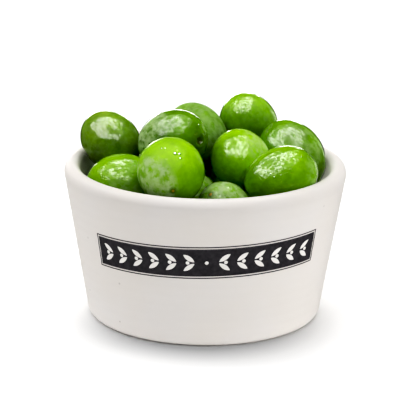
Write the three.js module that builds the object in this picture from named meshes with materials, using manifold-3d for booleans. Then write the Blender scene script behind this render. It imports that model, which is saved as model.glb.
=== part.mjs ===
// A small stoneware bowl heaped with large green table olives.
// Millimetres, +Z up. The origin is the middle of the bowl's foot, on the surface it stands on,
// and the front of the heap looks along -Y.

import * as THREE from 'three';
import { mergeVertices } from 'three/addons/utils/BufferGeometryUtils.js';
import Module from 'manifold-3d';

// --- Bowl: a turned, tapered pot with one wall thickness and a fully rounded lip ---------------
const HEIGHT = 49.4;
const RIM_RADIUS = 45;            // outside of the lip
const FOOT_RADIUS = 37.4;         // outside of the rounded foot edge
const FOOT_ROUND = 2.4;
const LIP_ROUND_OUT = 2.75;       // the lip's outer rounding, which runs on over the crest into
const LIP_ROUND_IN = 2.15;        // its inner rounding
const FLOOR = 5;                  // thickness of the bottom
const CORNER_ROUND = 8;           // inside, between the wall and the bottom
const FOOT_RING_RADIUS = 31;      // inside edge of the ring the bowl stands on
const FOOT_RING_DEPTH = 1.2;      // the bottom is set back this much inside the ring
const FOOT_RING_SLOPE = 1.4;      // width of the slope from the ring up to the bottom
const AROUND = 56;                // facets round the bowl
const ARC_STEPS = 4;              // facets along each rounding

// --- Heap --------------------------------------------------------------------------------------
const GAP = 0.3;                  // the heap stays this far off the glaze
const FILL_EDGE = 20;             // level, at the wall, up to which the bottom of the heap is solid
const FILL_MIDDLE = 22;           // and in the middle
const SKIN = 0.4;                 // olives swell this much, so that neighbours that touch join
const EGG = 0.05;                 // an olive is this much fatter towards its stem end
const TOP_FACETS = [16, 10];      // facets of an olive round its axis and along it, on top
const LOW_FACETS = [14, 8];       // and lower down
const CLEAR_RADIUS = 60;          // the open air over the bowl, wide and tall enough for the heap
const CLEAR_TOP = 90;

// Each olive: where its middle lies, the way its stem end points (heading turns from +X to +Y,
// tilt is above the level), its length and its width.
// The top of the heap, from the left round the front to the right, then the middle and the back:
const TOP_OLIVES = [
  { at: [-30.5, 8, 53.5], heading: -45, tilt: -30, length: 22, width: 18 },
  { at: [-26.5, -9.5, 44], heading: -20, tilt: 10, length: 23.5, width: 19.5 },
  { at: [-10.5, -25, 53], heading: 100, tilt: 5, length: 24, width: 21 },
  { at: [6.5, -24.5, 40.5], heading: -130, tilt: 45, length: 21, width: 16.5 },
  { at: [23.5, -19, 50], heading: 20, tilt: 15, length: 23.5, width: 19 },
  { at: [27.5, 8.5, 49], heading: -40, tilt: -45, length: 25.5, width: 21 },
  { at: [11, -3, 51], heading: -75, tilt: -15, length: 22, width: 19 },
  { at: [-10.5, -3, 57], heading: -20, tilt: 20, length: 23, width: 19.5 },
  { at: [-3, 15, 53.5], heading: -50, tilt: -40, length: 23.5, width: 19.5 },
  { at: [14, 24.5, 55.5], heading: 65, tilt: -50, length: 23.5, width: 18.5 },
];
// The ones they rest on, which show through the gaps and from behind, and the bottom layer:
const LOW_OLIVES = [
  { at: [-17, 23, 37.5], heading: 40, tilt: -50, length: 22, width: 19 },
  { at: [2, 28, 40], heading: 90, tilt: 50, length: 23, width: 19 },
  { at: [19, 20, 34], heading: -50, tilt: -30, length: 20, width: 19 },
  { at: [27, -5, 32], heading: -110, tilt: 60, length: 26, width: 18 },
  { at: [7, 4, 32], heading: -60, tilt: -10, length: 23, width: 20 },
  { at: [-6, -9, 39], heading: -50, tilt: 20, length: 23, width: 19 },
  { at: [-25, 6, 33], heading: -50, tilt: -40, length: 22, width: 18 },
  { at: [-18, -19, 27], heading: -50, tilt: 10, length: 24, width: 20 },
  { at: [-11, 13, 22], heading: -50, tilt: 20, length: 24, width: 19 },
  { at: [17, -18, 22], heading: -70, tilt: 20, length: 22, width: 20 },
  { at: [6, 23, 19], heading: -40, tilt: -20, length: 25, width: 20 },
  { at: [-24, -2, 16], heading: 70, tilt: 0, length: 22, width: 19 },
  { at: [-2, -25, 17], heading: -20, tilt: 45, length: 24, width: 19 },
  { at: [19, 1, 15], heading: -20, tilt: 0, length: 24, width: 19 },
  { at: [-3, -5, 17], heading: 0, tilt: 0, length: 24, width: 20 },
];

const wasm = await Module();
wasm.setup();

// Points on a circle about (x, z), from one angle to another, in degrees from +X.
function arc(x, z, radius, from, to, steps = ARC_STEPS) {
  return Array.from({ length: steps + 1 }, (_, i) => {
    const angle = THREE.MathUtils.degToRad(from + (to - from) * i / steps);
    return new THREE.Vector2(x + radius * Math.cos(angle), z + radius * Math.sin(angle));
  });
}

// The circles that the outside is drawn with, and the lean of the straight wall between them:
// the angle of the line between their centres, corrected for their unequal radii.
const crestRadius = RIM_RADIUS - LIP_ROUND_OUT;
const lipOuter = new THREE.Vector2(crestRadius, HEIGHT - LIP_ROUND_OUT);
const lipInner = new THREE.Vector2(crestRadius, HEIGHT - LIP_ROUND_IN);
const footEdge = new THREE.Vector2(FOOT_RADIUS - FOOT_ROUND, FOOT_ROUND);
const rise = lipOuter.clone().sub(footEdge);
const leanAngle = Math.atan2(rise.x, rise.y) + Math.asin((LIP_ROUND_OUT - FOOT_ROUND) / rise.length());
const lean = THREE.MathUtils.radToDeg(leanAngle);

// The inside, kept a gap away from the glaze: along the bottom, round the corner, straight up
// the wall and over the inner half of the lip to its crest.
function inside(gap) {
  const reach = LIP_ROUND_IN + CORNER_ROUND;
  const cornerHeight = FLOOR + CORNER_ROUND;
  const dropToCorner = lipInner.y + reach * Math.sin(leanAngle) - cornerHeight;
  const cornerX = lipInner.x - reach * Math.cos(leanAngle) - dropToCorner * Math.tan(leanAngle);
  return [
    new THREE.Vector2(0, FLOOR + gap),
    ...arc(cornerX, cornerHeight, CORNER_ROUND - gap, -90, -lean),
    ...arc(lipInner.x, lipInner.y, LIP_ROUND_IN + gap, 180 - lean, 90),
  ];
}

// A profile of radius and height, turned into a closed solid round the Z axis.
function turned(profile, around = AROUND) {
  return new THREE.LatheGeometry(profile, around).rotateX(Math.PI / 2);
}

function bowlGeometry() {
  return turned([
    new THREE.Vector2(0, FOOT_RING_DEPTH),
    new THREE.Vector2(FOOT_RING_RADIUS - FOOT_RING_SLOPE, FOOT_RING_DEPTH),
    new THREE.Vector2(FOOT_RING_RADIUS, 0),
    ...arc(footEdge.x, footEdge.y, FOOT_ROUND, -90, -lean),
    ...arc(lipOuter.x, lipOuter.y, LIP_ROUND_OUT, -lean, 0, 1),
    ...arc(lipOuter.x, lipOuter.y, LIP_ROUND_OUT, 0, 90).slice(1),
    ...inside(0).reverse().slice(1),
  ]);
}

// One olive: along its axis a half turn of a circle stretched to its length and width, with the
// width swelling a little towards the stem end. The axis is then turned to the stem's direction.
function oliveGeometry({ at, heading, tilt, length, width }, [around, along]) {
  const halfLength = length / 2 + SKIN;
  const halfWidth = width / 2 + SKIN;
  const profile = Array.from({ length: along + 1 }, (_, i) => {
    const angle = Math.PI * i / along;
    const height = -Math.cos(angle);
    const out = i === 0 || i === along ? 0 : Math.sin(angle);
    return new THREE.Vector2(halfWidth * out * (1 + EGG * height), halfLength * height);
  });
  const flat = Math.cos(THREE.MathUtils.degToRad(tilt));
  const stem = new THREE.Vector3(
    flat * Math.cos(THREE.MathUtils.degToRad(heading)),
    flat * Math.sin(THREE.MathUtils.degToRad(heading)),
    Math.sin(THREE.MathUtils.degToRad(tilt)),
  );
  const turn = new THREE.Quaternion().setFromUnitVectors(new THREE.Vector3(0, 1, 0), stem);
  return new THREE.LatheGeometry(profile, around).applyQuaternion(turn).translate(...at);
}

// A three.js geometry as a solid: the seams and poles are merged, and the triangles that the
// poles leave without area are dropped.
function solid(geometry) {
  geometry.deleteAttribute('normal');
  geometry.deleteAttribute('uv');
  const merged = mergeVertices(geometry, 1e-4);
  const index = merged.index.array;
  const triangles = [];
  for (let i = 0; i < index.length; i += 3) {
    const [a, b, c] = index.slice(i, i + 3);
    if (a !== b && b !== c && c !== a) {
      triangles.push(a, b, c);
    }
  }
  return new wasm.Manifold(new wasm.Mesh({
    numProp: 3,
    vertProperties: new Float32Array(merged.attributes.position.array),
    triVerts: new Uint32Array(triangles),
  }));
}

function geometryOf(manifold) {
  const mesh = manifold.getMesh();
  const geometry = new THREE.BufferGeometry();
  geometry.setAttribute('position', new THREE.BufferAttribute(mesh.vertProperties, 3));
  geometry.setIndex(new THREE.BufferAttribute(mesh.triVerts, 1));
  geometry.computeVertexNormals();
  return geometry;
}

// The heap: a solid bottom, the olives joined to it and to each other, and all of it trimmed to
// the room that the bowl leaves.
function heapGeometry() {
  const fill = turned([
    new THREE.Vector2(0, 0),
    new THREE.Vector2(RIM_RADIUS, 0),
    new THREE.Vector2(RIM_RADIUS, FILL_EDGE),
    new THREE.Vector2(0, FILL_MIDDLE),
  ]);
  const room = turned([
    ...inside(GAP),
    new THREE.Vector2(CLEAR_RADIUS, HEIGHT + GAP),
    new THREE.Vector2(CLEAR_RADIUS, CLEAR_TOP),
    new THREE.Vector2(0, CLEAR_TOP),
  ]);
  const olives = [
    ...TOP_OLIVES.map((olive) => solid(oliveGeometry(olive, TOP_FACETS))),
    ...LOW_OLIVES.map((olive) => solid(oliveGeometry(olive, LOW_FACETS))),
  ];
  const heap = olives.reduce((sum, olive) => sum.add(olive), solid(fill));
  return geometryOf(heap.intersect(solid(room)));
}

const bowlMaterial = new THREE.MeshStandardMaterial({
  name: 'stoneware', color: 0xddd8d4, roughness: 0.45, metalness: 0,
});
const oliveMaterial = new THREE.MeshStandardMaterial({
  name: 'olive_skin', color: 0x5f9a0c, roughness: 0.25, metalness: 0,
});

const bowl = new THREE.Mesh(bowlGeometry(), bowlMaterial);
bowl.name = 'bowl';

const olives = new THREE.Mesh(heapGeometry(), oliveMaterial);
olives.name = 'olives';

const dish = new THREE.Group();
dish.name = 'dish_of_olives';
dish.add(bowl, olives);

export default dish;
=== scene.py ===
"""The looks of a small stoneware bowl heaped with large green table olives.

Metres, +Z up. The origin is the middle of the bowl's foot, on the surface it stands on, and the
front of the heap looks along -Y.
"""

import math

import bpy
import numpy as np
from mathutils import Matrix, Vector


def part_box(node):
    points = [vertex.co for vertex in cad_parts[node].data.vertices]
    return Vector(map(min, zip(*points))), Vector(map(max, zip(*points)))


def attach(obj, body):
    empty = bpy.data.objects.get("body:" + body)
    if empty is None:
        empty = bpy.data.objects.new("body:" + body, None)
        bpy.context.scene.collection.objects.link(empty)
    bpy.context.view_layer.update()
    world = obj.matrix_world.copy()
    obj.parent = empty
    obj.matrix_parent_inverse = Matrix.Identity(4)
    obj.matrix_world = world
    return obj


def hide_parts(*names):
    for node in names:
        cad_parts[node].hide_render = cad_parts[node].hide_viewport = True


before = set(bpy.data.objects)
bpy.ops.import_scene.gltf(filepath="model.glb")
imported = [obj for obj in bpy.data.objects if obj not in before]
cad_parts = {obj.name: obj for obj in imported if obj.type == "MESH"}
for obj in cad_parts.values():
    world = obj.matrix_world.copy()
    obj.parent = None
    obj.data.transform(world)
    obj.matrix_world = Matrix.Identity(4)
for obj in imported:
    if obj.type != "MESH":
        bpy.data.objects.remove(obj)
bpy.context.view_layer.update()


# --- The bowl --------------------------------------------------------------------------------
# A thrown stoneware bowl with one wall thickness, a straight lean and a fully rounded lip. The
# satin off-white glaze covers it inside and out, down to the ring of bare clay it stands on.

MM = 0.001
bowl_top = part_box("bowl")[1]
RIM_RADIUS = bowl_top.x
RIM_HEIGHT = bowl_top.z
FOOT_RADIUS = 37.4 * MM           # outside of the rounded foot edge
FOOT_ROUND = 2.4 * MM
LIP_ROUND_OUT = 2.75 * MM         # the lip's outer rounding, and its inner one
LIP_ROUND_IN = 2.15 * MM
BOTTOM = 5 * MM                   # thickness of the bottom
CORNER_ROUND = 8 * MM             # inside, between the wall and the bottom
FOOT_RING_RADIUS = 31 * MM        # inside edge of the ring the bowl stands on
FOOT_RING_DEPTH = 1.2 * MM
FOOT_RING_SLOPE = 1.4 * MM
BOWL_AROUND = 256
TURNING_PITCH = 3.3 * MM          # the faint rings that the potter's fingers left
TURNING_DEPTH = 0.05 * MM
TURNING_DRIFT = 2.0               # how far a ring climbs round the wall (radians of its wave)
HAND_WOBBLE = 0.06 * MM           # how far the rim is out of round
WOBBLE_TURN = 0.7                 # how far its two bulges are turned (radians of their wave)

# The middles of the roundings, as (radius, height), and the lean of the wall that touches them.
lip_outer = np.array([RIM_RADIUS - LIP_ROUND_OUT, RIM_HEIGHT - LIP_ROUND_OUT])
lip_inner = np.array([RIM_RADIUS - LIP_ROUND_OUT, RIM_HEIGHT - LIP_ROUND_IN])
foot_edge = np.array([FOOT_RADIUS - FOOT_ROUND, FOOT_ROUND])
rise = lip_outer - foot_edge
LEAN = math.atan2(rise[0], rise[1]) + math.asin((LIP_ROUND_OUT - FOOT_ROUND) / np.hypot(*rise))
LEAN_DEGREES = math.degrees(LEAN)
OUTWARD = np.array([math.cos(LEAN), -math.sin(LEAN)])      # off the wall, as radius and height
UPWARD = np.array([math.sin(LEAN), math.cos(LEAN)])        # and up along it

# Inside, a line that leans as the wall does joins the middle of the last rounding to the lip's.
corner_height = BOTTOM + CORNER_ROUND
reach = LIP_ROUND_IN + CORNER_ROUND
fall = lip_inner[1] + reach * math.sin(LEAN) - corner_height
corner_radius = lip_inner[0] - reach * math.cos(LEAN) - fall * math.tan(LEAN)
inside_corner = np.array([corner_radius, corner_height])


def arc(middle, radius, start, end, steps):
    """Points (radius, height) on a circle, evenly spaced from one angle to another, in degrees."""
    angle = np.radians(np.linspace(start, end, steps + 1))
    return middle + radius * np.stack([np.cos(angle), np.sin(angle)], 1)


def straight(start, end, steps):
    """Points evenly spaced between two others, both of which are left out."""
    share = np.linspace(0, 1, steps + 1)[1:-1, None]
    return np.asarray(start) * (1 - share) + np.asarray(end) * share


def bowl_profile():
    """The bowl's section as (radius, height), from the middle of its underside round the outside
    and over the lip to the middle of its floor: straight runs between the roundings they touch."""
    ring_top = [FOOT_RING_RADIUS - FOOT_RING_SLOPE, FOOT_RING_DEPTH]
    under = [[0, FOOT_RING_DEPTH], ring_top, [FOOT_RING_RADIUS, 0]]
    foot = arc(foot_edge, FOOT_ROUND, -90, -LEAN_DEGREES, steps=14)
    lip = np.concatenate([
        arc(lip_outer, LIP_ROUND_OUT, -LEAN_DEGREES, 90, steps=20),
        arc(lip_inner, LIP_ROUND_IN, 90, 180 - LEAN_DEGREES, steps=16)[1:],
    ])
    corner = arc(inside_corner, CORNER_ROUND, -LEAN_DEGREES, -90, steps=16)
    return np.concatenate([
        under[:1], straight(under[0], under[1], steps=8), under[1:],
        straight(under[2], foot[0], steps=3), foot,
        straight(foot[-1], lip[0], steps=60), lip,
        straight(lip[-1], corner[0], steps=24), corner,
        straight(corner[-1], [0, BOTTOM], steps=12), [[0, BOTTOM]],
    ])


def turned(profile, around):
    """A profile (radius, height) carried round the Z axis: the grid [body, ring, around, xyz]."""
    turn = np.linspace(0, 2 * np.pi, around, endpoint=False)
    circle = np.stack([np.cos(turn), np.sin(turn), np.zeros(around)], 1)
    points = profile[:, None, :1] * circle
    points[:, :, 2] += profile[:, None, 1]
    return points[None]


def set_back(turn, level):
    """The share of its radius by which the bowl is set back at a turn (from +X) and a level: a
    wave up the wall for the turning rings, and two bulges round it that grow with the height."""
    climb = TURNING_DRIFT * np.sin(turn)
    rings = TURNING_DEPTH * (1 + np.sin(2 * np.pi * level / TURNING_PITCH + climb))
    wobble = HAND_WOBBLE * (1 + np.sin(2 * turn + WOBBLE_TURN)) * level / RIM_HEIGHT
    return (rings + wobble) / RIM_RADIUS


def skin(name, points, looped=False, **values):
    """A mesh over a grid of points [body, ring, around, xyz], one closed body after the other.
    The first and the last ring of a body are one vertex each, or next to each other where the
    body is looped. The values, one for each point, become attributes of the vertices."""
    kept = np.ones(points.shape[:3], bool)
    if not looped:
        kept[:, [0, -1], 1:] = False
    number = (np.cumsum(kept) - 1).reshape(kept.shape)
    if not looped:
        number[:, [0, -1]] = number[:, [0, -1], :1]
    here = number if looped else number[:, :-1]
    ahead = np.roll(number, -1, 1) if looped else number[:, 1:]
    corners = np.stack([here, np.roll(here, -1, 2), np.roll(ahead, -1, 2), ahead], -1).reshape(-1, 4)
    present = np.ones(corners.shape, bool)
    present[:, 1] = corners[:, 0] != corners[:, 1]
    present[:, 3] = corners[:, 2] != corners[:, 3]
    sides = present.sum(1)
    mesh = bpy.data.meshes.new(name)
    mesh.vertices.add(int(kept.sum()))
    mesh.vertices.foreach_set("co", points[kept].astype(np.float32).ravel())
    mesh.loops.add(int(sides.sum()))
    mesh.loops.foreach_set("vertex_index", corners[present].astype(np.int32))
    mesh.polygons.add(len(sides))
    mesh.polygons.foreach_set("loop_start", (np.cumsum(sides) - sides).astype(np.int32))
    mesh.update(calc_edges=True)
    mesh.shade_smooth()
    for key, value in values.items():
        kind, field = ("FLOAT_VECTOR", "vector") if value.ndim == points.ndim else ("FLOAT", "value")
        attribute = mesh.attributes.new(key, kind, "POINT")
        attribute.data.foreach_set(field, value[kept].astype(np.float32).ravel())
    piece = bpy.data.objects.new(name, mesh)
    bpy.context.scene.collection.objects.link(piece)
    return piece


def shade(name, **sockets):
    """A material with these values on its shader's own sockets: the material, its tree, its shader."""
    material = bpy.data.materials.new(name)
    material.use_nodes = True
    shader = material.node_tree.nodes["Principled BSDF"]
    for socket, value in sockets.items():
        shader.inputs[socket.replace("_", " ")].default_value = value
    return material, material.node_tree, shader


def node(tree, kind, inputs, **fields):
    """A node with its input sockets set to values or joined to other nodes' outputs: its outputs."""
    made = tree.nodes.new("ShaderNode" + kind)
    for field, value in fields.items():
        setattr(made, field, value)
    for socket, value in inputs.items():
        if isinstance(value, bpy.types.NodeSocket):
            tree.links.new(value, made.inputs[socket])
        else:
            made.inputs[socket].default_value = value
    return made.outputs


def worked(tree, operation, first, second=0.0):
    """One Math node: its result."""
    return node(tree, "Math", {0: first, 1: second}, operation=operation)[0]


def mixed(tree, share, first, second, kind="MIX"):
    """Two colours, each fixed or from a node, blended by a share: the blended colour."""
    first, second = [(*side, 1) if isinstance(side, tuple) else side for side in (first, second)]
    return node(tree, "Mix", {0: share, 6: first, 7: second}, data_type="RGBA", blend_type=kind)[2]


def ramp(tree, share, *stops):
    """A value turned into a colour, by stops of (value, colour)."""
    made = tree.nodes.new("ShaderNodeValToRGB")
    tree.links.new(share, made.inputs[0])
    elements = made.color_ramp.elements
    for spare in range(len(stops) - 2):
        elements.new(0.5)
    for element, (place, colour) in zip(elements, stops):
        element.position = place
        element.color = (*colour, 1)
    return made.outputs[0]


def stretched(tree, value, low, high, to_low=0.0, to_high=1.0):
    """A value from one range spread over another and held inside it."""
    return node(tree, "MapRange", {0: value, 1: low, 2: high, 3: to_low, 4: to_high})[0]


def clouded(tree, vector, scale, detail, **fields):
    """Noise of a scale (waves to one unit of the vector) and a detail, from 0 to 1."""
    return node(tree, "TexNoise", {"Vector": vector, "Scale": scale, "Detail": detail, **fields})["Fac"]


# The glaze's colour by height grows lighter towards the foot, partly where it is thicker and partly as
# painted light against the shade near the floor. Under the lip and over its outer edge it is darker, as
# painted shade.
GLAZE_AND_PAINTED_LIGHT_BY_HEIGHT = (
    (1.5 * MM, (0.790, 0.760, 0.734)),     # pooled at the foot, and painted light against the floor's shade
    (10.0 * MM, (0.735, 0.707, 0.683)),    # thick where it has run down the wall, and painted light
    (42.0 * MM, (0.705, 0.676, 0.650)),    # thin, near the rim
    (47.3 * MM, (0.665, 0.637, 0.613)),    # painted shade under the lip
    (48.5 * MM, (0.600, 0.574, 0.553)),    # painted shade, darkest over the lip's outer edge
    (49.0 * MM, (0.745, 0.712, 0.686)),    # on the lip
)
GLAZE_WARM = (1.0, 0.99, 0.97)    # what its warmer patches multiply it by
GLAZE_CLOUDS = 45.0               # patches to a metre
SPECK = (0.56, 0.53, 0.50)
SPECK_CELLS = 190.0               # cells to a metre that could hold one
SPECK_SIZE = 0.07                 # of a cell
SPECK_SHARE = 0.12                # of the cells hold one
BARE_CLAY = (0.55, 0.47, 0.38)
BARE_HEIGHT = 0.08 * MM           # the glaze is wiped off up to here
ORANGE_PEEL = 0.1 * MM            # depth of its orange peel, and its bumps to a metre
ORANGE_PEEL_GRAIN = 900.0


def glazed():
    """The glaze: a colour by height, with painted light towards the foot and painted shade under
    the lip, a faint warm cloud, a speck in the middle of some of many small cells, and bare clay
    just above the ground. Fine noise gives it its orange peel."""
    material, tree, shader = shade("glaze", Roughness=0.45, IOR=1.5, Specular_IOR_Level=0.1)
    place = node(tree, "TexCoord", {})["Object"]
    cloud = clouded(tree, place, GLAZE_CLOUDS, detail=3.0)
    cells = node(tree, "TexVoronoi", {"Vector": place, "Scale": SPECK_CELLS})
    chance = node(tree, "SeparateColor", {0: cells["Color"]})[0]
    speck = worked(tree, "MULTIPLY", worked(tree, "LESS_THAN", cells["Distance"], SPECK_SIZE),
                   worked(tree, "LESS_THAN", chance, SPECK_SHARE))
    height = node(tree, "SeparateXYZ", {0: place})["Z"]
    bare = worked(tree, "LESS_THAN", height, BARE_HEIGHT)
    colour = ramp(tree, height, *GLAZE_AND_PAINTED_LIGHT_BY_HEIGHT)
    warmer = stretched(tree, cloud, low=0.35, high=0.65)
    colour = mixed(tree, warmer, colour, GLAZE_WARM, "MULTIPLY")
    colour = mixed(tree, speck, colour, SPECK)
    colour = mixed(tree, bare, colour, BARE_CLAY)
    tree.links.new(colour, shader.inputs["Base Color"])
    peel = clouded(tree, place, ORANGE_PEEL_GRAIN, detail=2.0)
    bump = node(tree, "Bump", {"Height": peel, "Strength": 0.1, "Distance": ORANGE_PEEL})[0]
    tree.links.new(bump, shader.inputs["Normal"])
    return material


bowl_points = turned(bowl_profile(), BOWL_AROUND)
round_bowl = np.linspace(0, 2 * np.pi, BOWL_AROUND, endpoint=False)
bowl_points[..., :2] *= 1 - set_back(round_bowl, bowl_points[..., 2])[..., None]
bowl = skin("stoneware_bowl", bowl_points)
bowl.data.materials.append(glazed())
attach(bowl, "root")
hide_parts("bowl")


# --- The printed band ------------------------------------------------------------------------
# A band printed round the front of the wall in near-black ceramic ink, with a thin line of the
# same ink round it. It was laid on the glaze a little askew and fired into it.

WALL_FOOT = foot_edge + FOOT_ROUND * OUTWARD
BAND_TURN = math.radians(-88.9)              # the middle of the band, from +X
BAND_MIDDLE = 29.0 * MM                      # height of the middle of the band
BAND_RADIUS = WALL_FOOT[0] + (BAND_MIDDLE - WALL_FOOT[1]) * math.tan(LEAN)
BAND_HALF_SPAN = math.radians(51.4)
BAND_HALF_LENGTH = BAND_HALF_SPAN * BAND_RADIUS
BAND_HALF_HEIGHT = 4.66 * MM                 # along the wall
BAND_SLOPE = 0.025                           # its rise round the wall, to its right end
LINE_GAP = 0.42 * MM
LINE_WIDTH = 0.34 * MM
INK_PROUD = 0.05 * MM
SUNK = 0.15 * MM                             # how far ink, and enamel too, reach into the glaze


def on_wall(along, up, proud):
    """Points on the bowl's wall. The distance along the band becomes a turn round the bowl, the one
    up it climbs the leaning wall, which its turning rings set back, and the last stands off it."""
    up = up + BAND_SLOPE * along
    turn = BAND_TURN + along / BAND_RADIUS
    level = BAND_MIDDLE + up * UPWARD[1]
    wall = (BAND_RADIUS + up * UPWARD[0]) * (1 - set_back(turn, level))
    radius = wall + proud * OUTWARD[0]
    return np.stack([radius * np.cos(turn), radius * np.sin(turn), level + proud * OUTWARD[1]], -1)


def plate(half_length, half_height, proud, steps_along=160, steps_up=16):
    """A thin slab on the wall: its section runs down the face and up the back, and is carried
    along the band, shrinking to a point in the middle of each end."""
    sides = np.linspace(-1, 1, steps_up + 1)
    up = np.concatenate([sides[::-1], sides]) * half_height
    off = np.repeat([proud, -SUNK], len(sides))
    along = np.concatenate([[-1], np.linspace(-1, 1, steps_along), [1]]) * half_length
    shrink = np.ones((len(along), 1))
    shrink[[0, -1]] = 0
    return on_wall(along[:, None] + 0 * up, shrink * up, shrink * off)[None]


def frame_line(half_length, half_height, width, proud, steps=(120, 14, 120, 14)):
    """A thin line round the band: a small square section carried round a rectangle, in so many
    steps along each of its sides."""
    corner = np.array([[-1, -1], [1, -1], [1, 1], [-1, 1]])
    share = np.concatenate([np.linspace(side, side + 1, count, endpoint=False)
                            for side, count in enumerate(steps)])
    side = share.astype(int)
    part = (share - side)[:, None]
    path = corner[side] * (1 - part) + corner[(side + 1) % 4] * part
    outer = path * [half_length + width, half_height + width]
    inner = path * [half_length, half_height]
    section = np.stack([inner, inner, outer, outer], 1)
    off = np.array([-SUNK, proud, proud, -SUNK])
    return on_wall(section[..., 0], section[..., 1], off + 0 * section[..., 0])[None]


def drifting(name, first, second, scale, detail, **sockets):
    """A material whose colour drifts between two, in a cloud of a scale (to a metre)."""
    material, tree, shader = shade(name, **sockets)
    cloud = clouded(tree, node(tree, "TexCoord", {})["Object"], scale, detail)
    tree.links.new(ramp(tree, cloud, (0.3, first), (0.7, second)), shader.inputs["Base Color"])
    return material


INK_DENSE = (0.0384, 0.0360, 0.0400)
INK_WORN = (0.0624, 0.0585, 0.0650)

ink = drifting("ink", INK_DENSE, INK_WORN, scale=700.0, detail=3.0, Roughness=0.6, IOR=1.5,
               Specular_IOR_Level=0.2)
band = skin("dark_band", plate(BAND_HALF_LENGTH, BAND_HALF_HEIGHT, INK_PROUD))
line = frame_line(BAND_HALF_LENGTH + LINE_GAP, BAND_HALF_HEIGHT + LINE_GAP, LINE_WIDTH, INK_PROUD)
line_round_band = skin("line_round_band", line, looped=True)
for piece in (band, line_round_band):
    piece.data.materials.append(ink)
    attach(piece, "root")


# --- The leaves and dots on the band ---------------------------------------------------------
# A row of leaf pairs with round dots between them, in cream enamel. Each was laid on the ink by
# itself and fired, so it stands up a little from the band.

ENAMEL_PROUD = 0.11 * MM
LEAF_LENGTH = 4.2 * MM
LEAF_WIDTH = 1.5 * MM
LEAF_TURN = math.radians(36)      # each leaf of a pair leans this much off the band's middle line
LEAF_TAPER = 0.7                  # the higher, the sharper its tips
STALK = 0.3 * MM                  # from a pair's place to the foot of its leaves, along the band
STALK_SPREAD = 0.28 * MM          # and off the band's middle line
PAIRS = 6                         # on each side of the middle
PAIR_PITCH = 5.6 * MM
FIRST_PAIR = 0.62                 # from the middle, in pitches
DOT_RADIUS = 0.6 * MM
DOT_SHIFT = 0.28 * MM             # the dots stand this much further out than their pitch
PAD_AROUND = 40
# A pad's section: the share of its outline, and its height from -1 at its back to 1 at its face.
PAD_SECTION = ((0, -1), (0.9, -1), (1, -1), (1, 0.6), (0.9, 1), (0.5, 1), (0, 1))


def pads(middles, turns, outline, proud):
    """Small raised pads on the wall. Each is an outline (angle to distance), drawn together to a
    point on its face and on its back, placed at its middle and turned in the band's plane."""
    angle = np.linspace(0, 2 * np.pi, PAD_AROUND, endpoint=False)
    share, height = np.array(PAD_SECTION).T[:, :, None]
    off = np.where(height < 0, SUNK, proud) * height
    flat = share[..., None] * outline(angle)
    turn = np.array([[np.cos(turns), -np.sin(turns)], [np.sin(turns), np.cos(turns)]])
    spot = np.einsum("ijb,raj->brai", turn, flat) + np.asarray(middles)[:, None, None]
    return on_wall(spot[..., 0], spot[..., 1], off + 0 * spot[..., 0])


def leaf(angle):
    """A leaf: a stretched circle whose width shrinks towards its two tips."""
    width = LEAF_WIDTH * np.sin(angle) * np.abs(np.sin(angle)) ** LEAF_TAPER
    return np.stack([LEAF_LENGTH * np.cos(angle), width], -1) / 2


def dot(angle):
    """A round dot."""
    return DOT_RADIUS * np.stack([np.cos(angle), np.sin(angle)], -1)


ENAMEL_THIN = (0.8084, 0.7896, 0.7520)
ENAMEL = (0.86, 0.84, 0.80)

enamel = drifting("enamel", ENAMEL_THIN, ENAMEL, scale=500.0, detail=2.0, Roughness=0.4, IOR=1.5)
side, place_in_row, half = np.meshgrid([-1, 1], np.arange(PAIRS), [-1, 1], indexing="ij")
lean_out = np.where(side > 0, half * LEAF_TURN, np.pi - half * LEAF_TURN)
leaf_along = side * ((place_in_row + FIRST_PAIR) * PAIR_PITCH + STALK)
leaf_middles = np.stack([leaf_along + 0.5 * LEAF_LENGTH * np.cos(lean_out),
                         half * STALK_SPREAD + 0.5 * LEAF_LENGTH * np.sin(lean_out)], -1)
dot_place = np.arange(-PAIRS, PAIRS + 1)
dot_middles = np.stack([dot_place * PAIR_PITCH + np.sign(dot_place) * DOT_SHIFT, 0 * dot_place], -1)
leaves = skin("leaves_on_band", pads(leaf_middles.reshape(-1, 2), lean_out.ravel(), leaf, ENAMEL_PROUD))
dots = skin("dots_on_band", pads(dot_middles, 0 * dot_place, dot, ENAMEL_PROUD))
for piece in (leaves, dots):
    piece.data.materials.append(enamel)
    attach(piece, "root")


# --- The imported bottom of the heap -----------------------------------------------------------
# Olives lie packed right down to the bowl's floor. Below the layer that shows through the gaps
# they are one lumpy mass, damp with brine and painted the very dark green of the shade deep in the
# heap.

PACKED_GAP = 0.5 * MM             # off the glaze
PACKED_TOP = 17.0 * MM
PACKED_LUMP = 3.2 * MM            # how far the backs of its olives stand up
PACKED_PITCH = 17.0 * MM
PACKED_SHIFT = 0.8                # of the lumps towards the front (radians of their wave)
PACKED_EDGE = 6.0 * MM            # the lumps fade out over this much next to the wall
PACKED_RINGS = 40                 # over its top
PACKED_AROUND = 120
# Painted shade: the mass's colours, darker than any olive's own.
DEEP_PAINTED_SHADE = (0.012, 0.05, 0.003)
PALE_PAINTED_SHADE = (0.03, 0.11, 0.005)


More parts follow.
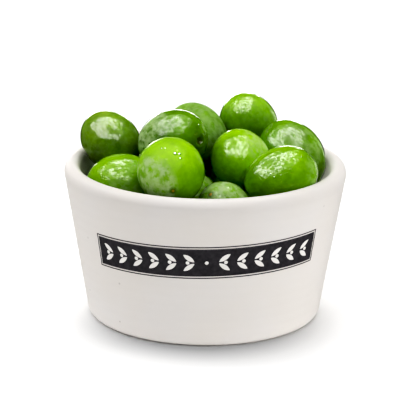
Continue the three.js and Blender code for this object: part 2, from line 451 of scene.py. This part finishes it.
def packed_bottom():
    """The bowl's inside, set in by a gap, up to a top of rounded lumps: a disc whose height is
    two crossed waves, joined to the wall's profile below it."""
    below = [0, BOTTOM + PACKED_GAP]
    corner = arc(inside_corner, CORNER_ROUND - PACKED_GAP, -90, -LEAN_DEGREES, steps=10)
    edge = corner[-1] + UPWARD * (PACKED_TOP - corner[-1][1]) / UPWARD[1]
    profile = np.concatenate([
        [below], straight(below, corner[0], steps=6), corner,
        straight(corner[-1], edge, steps=4), [edge],
        straight(edge, [0, PACKED_TOP], PACKED_RINGS), [[0, PACKED_TOP]],
    ])
    points = turned(profile, PACKED_AROUND)
    x, y = points[..., 0], points[..., 1]
    across = np.cos(2 * np.pi * x / PACKED_PITCH)
    wave = across * np.cos(2 * np.pi * y / PACKED_PITCH + PACKED_SHIFT)
    inside = np.clip((edge[0] - np.hypot(x, y)) / PACKED_EDGE, 0, 1)
    on_top = np.arange(len(profile)) >= len(profile) - PACKED_RINGS
    points[..., 2] += on_top[:, None] * PACKED_LUMP * wave * inside
    return points


# The mass is painted in shade.
packed_shade = drifting("packed_olives_shade", DEEP_PAINTED_SHADE, PALE_PAINTED_SHADE, scale=120.0, detail=3.0, Roughness=0.3, IOR=1.45)
core = skin("packed_olives", packed_bottom())
core.data.materials.append(packed_shade)
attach(core, "root")
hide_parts("olives")


# --- The olives ------------------------------------------------------------------------------
# Large, taut green olives, wet with brine. Each is an egg drawn a little longer than it is wide,
# with a dimple and scar where its stem was and a tiny scarred tip, near the ends of its axis.
# A waxy bloom, whose pale colour is partly a painted sheen, dulls part of some skins, and the
# film of brine on them breaks up into fine veins.

EGG = 0.05                        # an olive is this much fatter towards its stem end
LUMP = 0.16 * MM                  # low unevenness of its outline
CREASE = 0.07 * MM                # depth of the fine creases, which run mostly along its axis
CREASE_WANDER = 0.10              # how far they wander, in radii
CREASE_LEVEL = 0.8                # size of a wave at which the skin is neither raised nor sunk
DIMPLE_LIP = 0.25                 # height of the low lip round the dimple, to the dimple's depth
DIMPLE_LIP_AT = 1.9               # where it stands, and how wide it is, in widths of the dimple
DIMPLE_LIP_WIDTH = 0.8
NUB = 0.2 * MM                    # how far the tip's scar stands up
NUB_WIDTH = 0.7 * MM
PAINTED_TOP_LIGHT = 0.26                      # painted light: an olive's upper side is this much yellower than its middle
BLOOM_EDGE = 14.0                 # degrees over which the bloom fades out
APART = 80.0                      # how far the olives' patterns are moved apart at most (mm)


def olive(at, points, size, tone=0.42, warm=0.0, wet=0.9, bloom=(0, 0, 180, 0.15), stem=None,
          dimple=(0.5, 1.7), tip=None, scarred=0.15, crinkled=0.7, grain=0):
    """One olive: where its middle lies (mm), the heading and tilt that its stem end points
    (degrees), its length and width (mm), its tone from deep green 0 to yellow-green 1, how much
    it has turned brown, how wet it is, its bloom with its pale painted sheen (heading and tilt of
    the bloomed side, the angle that the bloom reaches from there, and its strength), its stem's
    heading and tilt where that is off the axis, the dimple's depth and width (mm), its tip's
    heading and tilt, how dark the tip's scar is, how strong its creases are, and the seed of its
    lumps, creases and markings."""
    return {
        "at": at, "points": points, "size": size, "tone": tone, "warm": warm, "wet": wet,
        "bloom": bloom, "stem": stem or points, "dimple": dimple,
        "tip": tip or (points[0] + 180, -points[1]),
        "scarred": scarred, "crinkled": crinkled, "grain": grain,
    }


TOP_OLIVES = [
    olive((-30.5, 8, 53.5), (-45, -30), (22, 18), tone=0.24, warm=0.5, wet=1.0,
          tip=(100, -10), crinkled=0.3, grain=26),
    olive((-26.5, -9.5, 44), (-20, 10), (23.5, 19.5), tone=0.44,
          bloom=(-87, 0, 30, 0.4), crinkled=0.8, grain=3),
    olive((-10.5, -25, 53), (100, 5), (24, 21), tone=0.53, wet=0.36,
          bloom=(-130, -8, 47, 1.0), tip=(-87, -14), scarred=1.0, grain=17),
    olive((6.5, -24.5, 40.5), (-130, 45), (21, 16.5), tone=0.34, wet=0.5,
          bloom=(-130, 45, 80, 1.0), stem=(60, -45), tip=(-127, 41), scarred=0.9, grain=31),
    olive((23.5, -19, 50), (20, 15), (23.5, 19), tone=0.44, wet=1.0,
          bloom=(0, 10, 40, 0.3), crinkled=1.0, grain=18),
    olive((27.5, 8.5, 49), (-40, -45), (25.5, 21), tone=0.23,
          bloom=(-70, 40, 40, 0.45), crinkled=0.6, grain=24),
    olive((11, -3, 51), (-75, -15), (22, 19), tone=0.62,
          bloom=(-20, 35, 42, 0.8), grain=30),
    olive((-10.5, -3, 57), (-20, 20), (23, 19.5), tone=0.18,
          bloom=(180, 20, 55, 1.0), stem=(-42, 8), dimple=(1.7, 0.95), crinkled=0.5, grain=10),
    olive((-3, 15, 53.5), (-50, -40), (23.5, 19.5), tone=0.16, wet=0.12,
          bloom=(-90, 60, 180, 0.40), grain=35),
    olive((14, 24.5, 55.5), (65, -50), (24, 19), tone=0.46, wet=1.0, scarred=0.0, grain=7),
]
LOW_OLIVES = [
    olive((-17, 23, 37.5), (40, -50), (22, 19), tone=0.45, grain=101),
    olive((2, 28, 40), (90, 50), (23, 19), grain=102),
    olive((19, 20, 34), (-50, -30), (20, 19), tone=0.35, grain=103),
    olive((27, -5, 32), (-110, 60), (26, 18), grain=104),
    olive((7, 4, 32), (-60, -10), (23, 20), tone=0.3, grain=105),
    olive((-6, -9, 39), (-50, 20), (23, 19), tone=0.45, bloom=(-90, 30, 60, 0.7), grain=106),
    olive((-25, 6, 33), (-50, -40), (22, 18), tone=0.3, grain=107),
    olive((-18, -19, 27), (-50, 10), (24, 20), grain=108),
    olive((-11, 13, 22), (-50, 20), (24, 19), grain=109),
    olive((17, -18, 22), (-70, 20), (22, 20), grain=110),
    olive((6, 23, 19), (-40, -20), (25, 20), grain=111),
    olive((-24, -2, 16), (70, 0), (22, 19), grain=112),
    olive((-2, -25, 17), (-20, 45), (24, 19), grain=113),
    olive((19, 1, 15), (-20, 0), (24, 19), grain=114),
    olive((-3, -5, 17), (0, 0), (24, 20), grain=115),
]


def pointing(heading, tilt):
    """Unit vectors that point along a heading, in degrees from +X to +Y, tilted above the level."""
    heading, tilt = np.radians(heading), np.radians(tilt)
    return np.stack([np.cos(tilt) * np.cos(heading), np.cos(tilt) * np.sin(heading), np.sin(tilt)], -1)


def unit_ball(along, around):
    """A ball of radius 1 as the grid [ring, around, xyz]: half a circle, from the ball's bottom to
    its top, carried round the axis."""
    polar = np.linspace(0, np.pi, along + 1)[:, None]
    turn = np.linspace(0, 2 * np.pi, around, endpoint=False)
    out = np.sin(polar) + 0 * turn
    out[[0, -1]] = 0
    return np.stack([out * np.cos(turn), out * np.sin(turn), 0 * turn - np.cos(polar)], -1)


def uneven(draws, direction, count, lowest, highest, stretch=1.0):
    """A smooth random unevenness for each olive, from its own random generator: waves of random
    heading and phase, summed over the unit sphere and scaled to about one. Stretch slows the
    waves down along the axis."""
    heading = np.stack([draw.normal(size=(count, 3)) for draw in draws])
    heading /= np.linalg.norm(heading, axis=-1, keepdims=True)
    heading *= np.stack([draw.uniform(lowest, highest, (count, 1)) for draw in draws]) * [1, 1, stretch]
    phase = np.stack([draw.uniform(0, 2 * np.pi, (count, 1, 1)) for draw in draws])
    waves = np.sin(np.einsum("owk,orak->owra", heading, direction) + phase)
    return waves.sum(1) / math.sqrt(count)


def relief(draws, direction, each, from_stem, from_tip):
    """How far each point of the skins stands out: low lumps, then creases, which are the valleys
    where waves along the axis pass through zero, then the stem's dimple in its low lip, and the
    tip's nub. The last two fade with the distance from the stem and the tip, in their widths."""
    wander = np.stack([uneven(draws, direction, count=5, lowest=3, highest=6) for axis in range(3)], -1)
    lumps = LUMP * uneven(draws, direction, count=7, lowest=1.5, highest=4.0)
    waves = uneven(draws, direction + CREASE_WANDER * wander, count=30, lowest=14, highest=30,
                   stretch=0.35)
    creases = CREASE * each["crinkled"][:, None, None] * (np.abs(waves) - CREASE_LEVEL)
    lip = DIMPLE_LIP * np.exp(-((from_stem - DIMPLE_LIP_AT) / DIMPLE_LIP_WIDTH) ** 2)
    dimple = each["dimple"][:, 0, None, None] * MM * (np.exp(-from_stem ** 2) - lip)
    return lumps + creases - dimple + NUB * np.exp(-from_tip ** 2)


def olive_shapes(olives, along, around):
    """The olives as a grid [olive, ring, around, xyz], and their looks as attributes. Along its
    axis an olive is a half turn of an ellipse, fatter towards the stem end, and its relief pushes
    its skin out from its middle. In the sums, o counts the olives, r and a the rings and the
    places round them, k an olive's own axes and x the world's."""
    draws = [np.random.default_rng(one["grain"]) for one in olives]
    each = {key: np.array([one[key] for one in olives], float) for key in olives[0]}
    heading, tilt = each["points"].T
    length, width = each["size"].T * MM
    axis = pointing(heading, tilt)
    side = pointing(heading + 90, 0 * tilt)
    frames = np.stack([side, np.cross(axis, side), axis], 1)
    ball = unit_ball(along, around)
    direction = np.broadcast_to(ball, (len(olives), *ball.shape))
    half = np.stack([width, width, length], -1) / 2
    fatter = 1 + EGG * direction[..., 2:] * [1, 1, 0]
    own = direction * half[:, None, None] * fatter

    stem_at = np.einsum("okx,ox->ok", frames, pointing(*each["stem"].T)) * half
    tip_at = np.einsum("okx,ox->ok", frames, pointing(*each["tip"].T)) * half
    dimple_width = each["dimple"][:, 1, None, None] * MM
    from_stem = np.linalg.norm(own - stem_at[:, None, None], axis=-1) / dimple_width
    from_tip = np.linalg.norm(own - tip_at[:, None, None], axis=-1) / NUB_WIDTH
    own = own + direction * relief(draws, direction, each, from_stem, from_tip)[..., None]
    points = np.einsum("orak,okx->orax", own, frames) + each["at"][:, None, None] * MM

    facing = np.einsum("orak,okx->orax", direction, frames)
    bloom_heading, bloom_tilt, bloom_reach, bloom_and_sheen_amount = each["bloom"].T
    near_bloom = np.einsum("orax,ox->ora", facing, pointing(bloom_heading, bloom_tilt))
    angle = np.degrees(np.arccos(np.clip(near_bloom, -1, 1)))
    within = np.clip((bloom_reach[:, None, None] - angle) / BLOOM_EDGE + 0.5, 0, 1)
    everywhere = np.ones(angle.shape)
    apart = np.stack([draw.uniform(-APART, APART, 3) for draw in draws])
    looks = {key: each[key][:, None, None] * everywhere
             for key in ("tone", "warm", "wet", "scarred", "crinkled")}
    # Painted light: each olive's tone rises on its upper side and falls on its lower one.
    looks["tone"] = looks["tone"] + PAINTED_TOP_LIGHT * facing[..., 2]
    looks["stem_at"] = (stem_at / MM + apart)[:, None, None] * everywhere[..., None]
    looks["tip_at"] = (tip_at / MM + apart)[:, None, None] * everywhere[..., None]
    looks["own"] = own / MM + apart[:, None, None]
    # The bloom's mask, which also places its pale painted sheen.
    looks["bloom"] = bloom_and_sheen_amount[:, None, None] * within
    return points, looks


def mottled(tree, vector, pattern, to_low=0.0, to_high=1.0):
    """Noise of a pattern (waves to a millimetre, detail, and the range of it that counts), with
    that range spread over another."""
    scale, detail, low, high = pattern
    return stretched(tree, clouded(tree, vector, scale, detail), low, high, to_low, to_high)


LARGE_CLOUDS = (0.13, 2.0, 0.25, 0.75)
SMALL_CLOUDS = (0.9, 4.0, 0.3, 0.7)
BROWN_CLOUDS = (0.1, 1.0, 0.3, 0.6)
BLOOM_CLOUDS = (0.55, 5.0, 0.34, 0.6)
RUBBED_PATCHES = (0.4, 5.0, 0.53, 0.63)

# The colours, and each one's share where it is strongest. Distances on the skin are in millimetres.
DEEP = (0.034, 0.080, 0.0005)     # the greens, as they ripen
GREEN = (0.145, 0.31, 0.0005)
GREEN_TONE = 0.45                 # tone of the middle one
YELLOW_GREEN = (0.36, 0.66, 0.0005)
LARGE_TONE_SHIFT = 0.16           # how far the large clouds shift the tone, and the small ones
SMALL_TONE_SHIFT = 0.05
BROWNED = (1.35, 0.86, 1.0)       # what browning multiplies the green by
LEAST_BROWNED = 0.3               # its share between the browner clouds
# The pale of the waxy bloom, partly a painted sheen.
BLOOM_AND_SHEEN = (0.445, 0.56, 0.315)
BLOOM_AND_SHEEN_SHARE = 0.72
THIN_BLOOM = 0.25                 # what is left of it between its clouds, and where it is rubbed off
RUBBED_BLOOM = 0.1
LENTICEL = (0.45, 0.62, 0.08)
LENTICEL_SHARE = 0.35
LENTICEL_CELLS = 0.8              # to a millimetre, each with a lenticel in its middle
LENTICEL_CORE, LENTICEL_EDGE = 0.06, 0.14              # of a cell
TIP_SCAR = (0.45, 0.27, 0.03)
TIP_SCAR_CORE, TIP_SCAR_EDGE = 0.35, 0.6
TIP_HALO_SHARE = 0.75
TIP_HALO_EDGE = 1.5
STEM_SCAR = (0.07, 0.035, 0.008)
STEM_SCAR_SHARE = 0.9
STEM_SCAR_CORE, STEM_SCAR_EDGE = 0.6, 1.3
WET_ROUGHNESS, MATT_ROUGHNESS = 0.22, 0.52
DRAWN_OUT = (1.0, 1.0, 0.6)       # the film and the creases are drawn out along the axis
FINE_CREASE = 0.2 * MM


def olive_colour(tree, own, looks, waxy_and_sheen, from_stem, from_tip):
    """The skin's colour: two sizes of cloud shift its tone, which painted light raises on each
    olive's upper side and lowers on its lower one, a slow one browns it, and pale lenticels dot it.
    Then come the bloom with its pale painted sheen, the dark halo and scar of the tip, and the stem's."""
    large_shift = mottled(tree, own, LARGE_CLOUDS, -LARGE_TONE_SHIFT, LARGE_TONE_SHIFT)
    small_shift = mottled(tree, own, SMALL_CLOUDS, -SMALL_TONE_SHIFT, SMALL_TONE_SHIFT)
    ripe_and_top_light = worked(tree, "ADD", worked(tree, "ADD", looks["tone"], large_shift), small_shift)
    colour = ramp(tree, ripe_and_top_light, (0.0, DEEP), (GREEN_TONE, GREEN), (1.0, YELLOW_GREEN))
    browned = worked(tree, "MULTIPLY", looks["warm"], mottled(tree, own, BROWN_CLOUDS, LEAST_BROWNED))
    colour = mixed(tree, browned, colour, BROWNED, "MULTIPLY")
    cells = node(tree, "TexVoronoi", {"Vector": own, "Scale": LENTICEL_CELLS})["Distance"]
    lenticel = stretched(tree, cells, LENTICEL_EDGE, LENTICEL_CORE, 0.0, LENTICEL_SHARE)
    colour = mixed(tree, lenticel, colour, LENTICEL)
    # The bloom's pale colour, partly a painted sheen.
    colour = mixed(tree, worked(tree, "MULTIPLY", waxy_and_sheen, BLOOM_AND_SHEEN_SHARE), colour, BLOOM_AND_SHEEN)
    halo = stretched(tree, from_tip, TIP_HALO_EDGE, TIP_SCAR_EDGE, 0.0, TIP_HALO_SHARE)
    colour = mixed(tree, worked(tree, "MULTIPLY", looks["scarred"], halo), colour, DEEP)
    tip_scar = stretched(tree, from_tip, TIP_SCAR_EDGE, TIP_SCAR_CORE)
    colour = mixed(tree, worked(tree, "MULTIPLY", looks["scarred"], tip_scar), colour, TIP_SCAR)
    stem_scar = stretched(tree, from_stem, STEM_SCAR_EDGE, STEM_SCAR_CORE, 0.0, STEM_SCAR_SHARE)
    return mixed(tree, stem_scar, colour, STEM_SCAR)


# The film of brine. A skin is bare where noise stays below a level, which is lower on a wet one.
BARE_IF_DRY, BARE_IF_WET = 0.72, 0.42
FILM_EDGE = 0.07                  # rise of the noise over which the film's edge thickens
VEIN_CORE, VEIN_EDGE = 0.02, 0.08                      # half the width of a vein, in its own noise
TAUT_FILM, TAUT_VEIN = 0.5, 0.55  # thickness between its veins and in them, on taut skin
CRINKLED_FILM, CRINKLED_VEIN = 0.05, 1.0               # and on crinkled skin
BLOOMED_FILM = 0.15               # what full bloom leaves of it
OUTLINE_FROM, OUTLINE_FULL = 0.6, 0.8                  # how far the skin has turned away there
DIMPLE_BARE, DIMPLE_COVERED = 0.8, 1.6                 # distances from the stem


def brine_film(tree, along_axis, looks, waxy_and_sheen, from_stem):
    """How thick the film of brine is, from 0 to 1. It covers a wet skin whole and a dry one in
    patches, gathers in fine veins where the skin is crinkled, and draws back from bloom and from
    the dimple. Towards an olive's outline even a thin film reflects, so there it counts in full."""
    patches = clouded(tree, along_axis, scale=0.4, detail=6.0, Roughness=0.6)
    bare_below = stretched(tree, looks["wet"], 0.0, 1.0, BARE_IF_DRY, BARE_IF_WET)
    covered = stretched(tree, worked(tree, "SUBTRACT", patches, bare_below), 0.0, FILM_EDGE)
    noise = clouded(tree, along_axis, scale=1.0, detail=4.0, Distortion=0.5)
    off_vein = worked(tree, "ABSOLUTE", worked(tree, "SUBTRACT", noise, 0.5))
    between = stretched(tree, looks["crinkled"], 0.0, 1.0, TAUT_FILM, CRINKLED_FILM)
    in_vein = stretched(tree, looks["crinkled"], 0.0, 1.0, TAUT_VEIN, CRINKLED_VEIN)
    thickness = stretched(tree, off_vein, VEIN_EDGE, VEIN_CORE, between, in_vein)
    film = worked(tree, "MULTIPLY", covered, thickness)
    off_bloom = stretched(tree, waxy_and_sheen, low=0.1, high=0.8, to_low=1.0, to_high=BLOOMED_FILM)
    film = worked(tree, "MULTIPLY", film, off_bloom)
    turned_away = node(tree, "LayerWeight", {"Blend": 0.5})["Facing"]
    at_outline = stretched(tree, turned_away, OUTLINE_FROM, OUTLINE_FULL)
    damp_enough = stretched(tree, looks["wet"], low=0.1, high=0.4)
    film = worked(tree, "MAXIMUM", film, worked(tree, "MULTIPLY", at_outline, damp_enough))
    return worked(tree, "MULTIPLY", film, stretched(tree, from_stem, DIMPLE_BARE, DIMPLE_COVERED))


def olive_skin():
    """The skin: its colour, a roughness that bloom and dryness raise, a coat for the film of
    brine, and fine creases. Every pattern lies on the olive itself, in millimetres."""
    material, tree, shader = shade("olive_skin", IOR=1.5, Specular_IOR_Level=0.05,
                                   Subsurface_Weight=0.15, Subsurface_Radius=(0.6, 1.0, 0.1),
                                   Subsurface_Scale=1.2 * MM, Coat_Roughness=0.05, Coat_IOR=1.5)
    own, stem_at, tip_at = [node(tree, "Attribute", {}, attribute_name=name)["Vector"]
                            for name in ("own", "stem_at", "tip_at")]
    looks = {name: node(tree, "Attribute", {}, attribute_name=name)["Fac"]
             for name in ("tone", "warm", "wet", "bloom", "scarred", "crinkled")}
    from_stem = node(tree, "VectorMath", {0: own, 1: stem_at}, operation="DISTANCE")["Value"]
    from_tip = node(tree, "VectorMath", {0: own, 1: tip_at}, operation="DISTANCE")["Value"]
    waxy_and_sheen = worked(tree, "MULTIPLY", looks["bloom"], mottled(tree, own, BLOOM_CLOUDS, THIN_BLOOM))
    waxy_and_sheen = worked(tree, "MULTIPLY", waxy_and_sheen, mottled(tree, own, RUBBED_PATCHES, 1.0, RUBBED_BLOOM))
    colour = olive_colour(tree, own, looks, waxy_and_sheen, from_stem, from_tip)
    tree.links.new(colour, shader.inputs["Base Color"])
    matt = worked(tree, "MAXIMUM", waxy_and_sheen, stretched(tree, looks["wet"], low=0.9, high=0.1))
    roughness = stretched(tree, matt, 0.0, 1.0, WET_ROUGHNESS, MATT_ROUGHNESS)
    tree.links.new(roughness, shader.inputs["Roughness"])
    along_axis = node(tree, "Mapping", {"Vector": own, "Scale": DRAWN_OUT})[0]
    film = brine_film(tree, along_axis, looks, waxy_and_sheen, from_stem)
    tree.links.new(film, shader.inputs["Coat Weight"])
    crease = clouded(tree, along_axis, scale=1.1, detail=4.0, Roughness=0.6, Distortion=0.6)
    crease = worked(tree, "MULTIPLY", crease, looks["crinkled"])
    bump = node(tree, "Bump", {"Height": crease, "Strength": 0.5, "Distance": FINE_CREASE})[0]
    tree.links.new(bump, shader.inputs["Normal"])
    tree.links.new(bump, shader.inputs["Coat Normal"])
    return material


skin_of_olives = olive_skin()
for name, olives, along, around in (("olives_on_top", TOP_OLIVES, 84, 112),
                                    ("olives_below", LOW_OLIVES, 52, 72)):
    points, looks = olive_shapes(olives, along, around)
    piece = skin(name, points, **looks)
    piece.data.materials.append(skin_of_olives)
    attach(piece, "root")
    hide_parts("olives")


# --- The drops of brine ----------------------------------------------------------------------
# Small beads of brine that cling to the skins of the olives in front. They are clear, so they
# take the green of the skin below them, and each throws back a spark of light.

DROP_HEIGHT = 0.55                # of its radius
DROP_GREEN = (0.10, 0.30, 0.002)


def drop(which, heading, tilt, radius):
    """One bead: its olive's place in the list, its heading and tilt from that olive's middle, and
    its radius (mm)."""
    return {"on": TOP_OLIVES[which], "heading": heading, "tilt": tilt, "radius": radius * MM}


DROPS = [
    drop(2, -78, 52, 0.55), drop(2, -67, 49, 0.45), drop(2, -69, 42, 0.35),
    drop(2, -123, 59, 0.28), drop(2, -111, 61, 0.25), drop(4, -38, 49, 0.22),
    drop(4, -135, 41, 0.22), drop(4, -90, 20, 0.18), drop(3, -32, 47, 0.25),
    drop(3, -29, 40, 0.28), drop(3, -39, 56, 0.20), drop(6, -125, 60, 0.35),
]


def beads(drops, skin_below):
    """A flattened ball for each drop, as the grid [drop, ring, around, xyz]. It lies flat on the
    skin below, at the point nearest to a place that is an olive's length out in its direction."""
    ball = unit_ball(along=12, around=20) * [1, 1, DROP_HEIGHT]
    bodies = []
    for one in drops:
        out = pointing(one["heading"], one["tilt"]) * one["on"]["size"][0]
        start = Vector((np.array(one["on"]["at"]) + out) * MM)
        _, place, normal, _ = skin_below.closest_point_on_mesh(start)
        frame_of_drop = np.array(normal.to_track_quat("Z", "Y").to_matrix())
        bodies.append(ball * one["radius"] @ frame_of_drop.T + np.array(place))
    return np.stack(bodies)


brine = shade("brine", Base_Color=(*DROP_GREEN, 1), Roughness=0.1, IOR=1.33,
              Coat_Weight=1.0, Coat_Roughness=0.02, Coat_IOR=2.0)[0]
drops = skin("drops_of_brine", beads(DROPS, bpy.data.objects["olives_on_top"]))
drops.data.materials.append(brine)
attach(drops, "root")


# --- The studio ------------------------------------------------------------------------------
# A pale floor with a soft shade painted round the foot, so that the floor's full white still
# lights the bowl from below. Two softboxes overhead light the heap and draw its highlights, two
# low ones behind draw its bright edges, and wide panels all round light matt surfaces alone.

FLOOR_RADIUS = 3.0
FLOOR_THICKNESS = 0.01
FLOOR_SHADED = (0.40, 0.405, 0.415)
FLOOR_OPEN = (0.83, 0.83, 0.83)
FLOOR_FAR = (0.98, 0.98, 0.98)
SHADE_MIDDLE = (-0.0008, -0.012, 0)    # the shade lies round this point, a little to the front
SHADE_FULL, SHADE_OPEN, SHADE_END = 0.027, 0.039, 0.046
UNDER_FOOT, PAST_FOOT = 0.0356, 0.0368    # it sets in between these radii, inside the foot's edge


def painted_floor():
    """The floor's paint: rings of grey round the shade's middle, seen by the camera alone. All
    other rays, such as those that carry light back to the bowl, meet plain white."""
    material, tree, shader = shade("floor_paint", Roughness=0.8, Specular_IOR_Level=0.1)
    place = node(tree, "TexCoord", {})["Object"]
    away = node(tree, "VectorMath", {0: place, 1: SHADE_MIDDLE}, operation="DISTANCE")["Value"]
    shades = ((SHADE_FULL, FLOOR_SHADED), (SHADE_OPEN, FLOOR_OPEN), (SHADE_END, FLOOR_FAR))
    from_axis = node(tree, "VectorMath", {0: place}, operation="LENGTH")["Value"]
    past_foot = stretched(tree, from_axis, UNDER_FOOT, PAST_FOOT)
    seen = mixed(tree, past_foot, FLOOR_OPEN, ramp(tree, away, *shades))
    looked_at = node(tree, "LightPath", {})["Is Camera Ray"]
    tree.links.new(mixed(tree, looked_at, FLOOR_FAR, seen), shader.inputs["Base Color"])
    return material


floor_profile = np.array([
    [0, -FLOOR_THICKNESS], [FLOOR_RADIUS, -FLOOR_THICKNESS], [FLOOR_RADIUS, 0], [0, 0],
])
floor = skin("floor", turned(floor_profile, around=96))
floor.data.materials.append(painted_floor())
floor.visible_glossy = False      # so that the skins' edges stay green and dark


def softbox(name, place, aim, size, radiance, diffuse=True, glossy=True, spread=180, only=None):
    """A panel of light at a place, turned to face another, of a width and depth, of even radiance
    and with a spread in degrees. It lights matt surfaces, shows in glossy ones, or both. Where it
    is for one piece only, it lights that alone and nothing else stands in its way."""
    light = bpy.data.lights.new(name, "AREA")
    light.shape = "RECTANGLE"
    light.size, light.size_y = size
    light.spread = math.radians(spread)
    light.energy = math.pi * size[0] * size[1] * radiance
    lamp = bpy.data.objects.new(name, light)
    lamp.location = place
    lamp.rotation_euler = (Vector(aim) - Vector(place)).to_track_quat("-Z", "Y").to_euler()
    lamp.visible_camera = False
    lamp.visible_diffuse = diffuse
    lamp.visible_glossy = glossy
    bpy.context.scene.collection.objects.link(lamp)
    if only:
        lit = bpy.data.collections.new(name + "_lights")
        lit.objects.link(only)
        lamp.light_linking.receiver_collection = lit
        lamp.light_linking.blocker_collection = lit


MIDDLE = (0, 0, 0.04)             # of the bowl and its heap

# The overhead panels face a hair behind straight down, which turns their width along X.
softbox("overhead", (-0.13, -0.09, 0.52), (-0.13, -0.089, 0), (1.0, 0.82), radiance=1.5)
softbox("overhead_sheen", (-0.31, -0.19, 0.53), (-0.31, -0.189, 0), (1.15, 0.94), radiance=12.0,
        diffuse=False)

softbox("horizon", (-0.09, 0.88, 0.105), MIDDLE, (0.57, 0.13), radiance=6.0, diffuse=False)
softbox("right_edge", (0.55, 0.7, 0.1), MIDDLE, (0.15, 0.3), radiance=2.5, diffuse=False)
softbox("behind", (0, 0.9, 0.3), MIDDLE, (0.8, 0.6), radiance=2.3, glossy=False)
softbox("right", (0.9, 0, 0.3), MIDDLE, (0.8, 0.6), radiance=2.5, glossy=False)
softbox("right_low", (0.9, 0, 0.12), MIDDLE, (0.8, 0.2), radiance=0.6, glossy=False)
softbox("left", (-0.9, 0, 0.3), MIDDLE, (0.8, 0.6), radiance=0.3, glossy=False)
softbox("left_behind", (-0.7, 0.58, 0.25), MIDDLE, (0.8, 0.45), radiance=4.0, glossy=False)
softbox("right_front", (0.64, -0.64, 0.12), MIDDLE, (0.6, 0.2), radiance=2.5, glossy=False)
softbox("front_low", (0, -0.95, 0.12), MIDDLE, (0.6, 0.2), radiance=0.9, glossy=False)
softbox("front", (0, -0.85, 0.45), MIDDLE, (0.5, 0.5), radiance=0.5, glossy=False)

# The wall beside the right-hand olive would be black in its shade, so a small panel inside the
# heap lights the bowl alone there.
softbox("inside_fill", (-0.005, -0.012, 0.036), (0.042, 0, 0.033), (0.02, 0.02), radiance=2.0,
        glossy=False, spread=40, only=bowl)

SURROUND = 0.03                   # radiance of the room, as glossy surfaces show it
SURROUND_ON_MATT = 0.12           # and how much more lights matt ones; the camera sees it white

world = bpy.data.worlds.new("surround")
bpy.context.scene.world = world
world.use_nodes = True
sky = world.node_tree
ray = node(sky, "LightPath", {})
strength = node(sky, "Math", {0: ray["Is Diffuse Ray"], 1: SURROUND_ON_MATT, 2: SURROUND},
                operation="MULTIPLY_ADD")[0]
strength = worked(sky, "MAXIMUM", ray["Is Camera Ray"], strength)
sky.links.new(strength, sky.nodes["Background"].inputs["Strength"])
sky.nodes["Background"].inputs["Color"].default_value = (1, 1, 1, 1)

CAMERA_PLACE = (0, -0.76322, 0.26446)
CAMERA_TURN = (73.186, -0.701, 0.135)                   # degrees
CAMERA_LENS = 215.5               # millimetres, as is the width of its sensor
CAMERA_SENSOR = 36
BLACK_LEVEL = 0.015               # radiance that shows as black
CONTRAST = ((0.08, 0.045), (0.25, 0.21), (0.55, 0.55))  # radiance, and what it shows as

camera = bpy.data.objects.new("camera", bpy.data.cameras.new("camera"))
camera.data.lens = CAMERA_LENS
camera.data.sensor_width = CAMERA_SENSOR
camera.location = CAMERA_PLACE
camera.rotation_euler = [math.radians(turn) for turn in CAMERA_TURN]
bpy.context.scene.collection.objects.link(camera)
bpy.context.scene.camera = camera
view = bpy.context.scene.view_settings
view.view_transform = "Standard"
view.use_curve_mapping = True
for radiance, shown in CONTRAST:
    view.curve_mapping.curves[3].points.new(radiance, shown)
view.curve_mapping.black_level = 3 * [BLACK_LEVEL]
view.curve_mapping.update()
